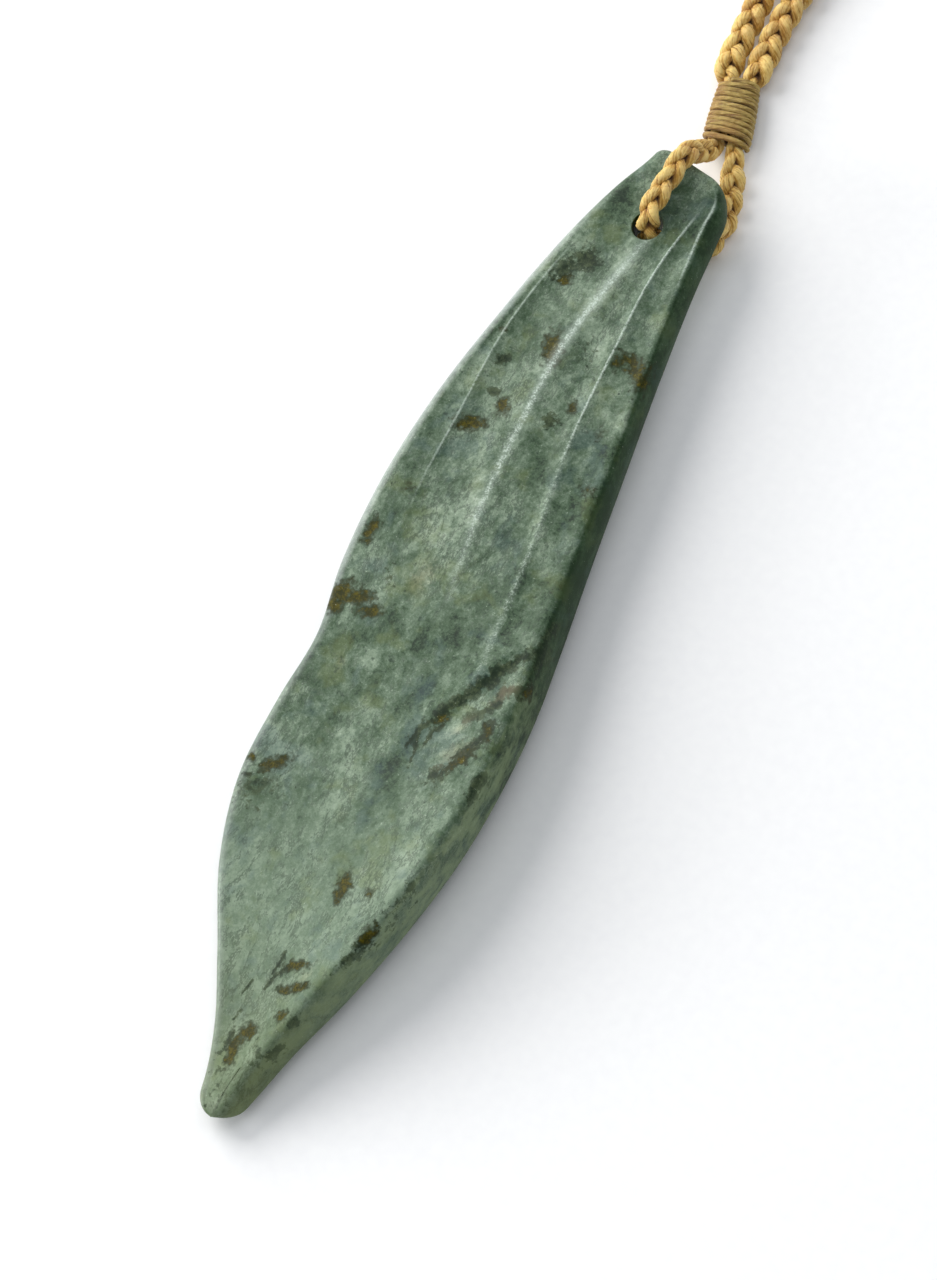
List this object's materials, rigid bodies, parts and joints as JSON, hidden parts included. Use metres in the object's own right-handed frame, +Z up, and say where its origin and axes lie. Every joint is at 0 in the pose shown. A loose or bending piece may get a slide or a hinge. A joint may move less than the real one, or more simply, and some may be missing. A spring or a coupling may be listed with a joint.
{
  "type": "greenstone leaf pendant on a plaited cord",
  "caption": "Long carved leaf of green stone, fluted above and turned below, hung through a hole on a plaited neck cord with a thread whipping.",
  "frame": {"origin": "middle of the whole laid-out pendant and its neck cord, at the surface that it lies on", "axes": "+Y along the leaf's long axis, from its tip towards the hole and the nape; +Z up out of the leaf's face; +X to the right of the face"},
  "size_m": [0.1398, 0.4, 0.0089],
  "materials": {
    "greenstone": "waxy polish, mottled grey green with rust and dark flecks",
    "plaited_cord": "waxed plaited twine, golden tan",
    "whipping_thread": "waxed thread wound tight, olive tan"
  },
  "bodies": {
    "root": {"leaf": "greenstone", "cord_left": "plaited_cord", "cord_right": "plaited_cord", "whipping": "whipping_thread", "nape_binding": "whipping_thread"}
  },
  "joints": []
}
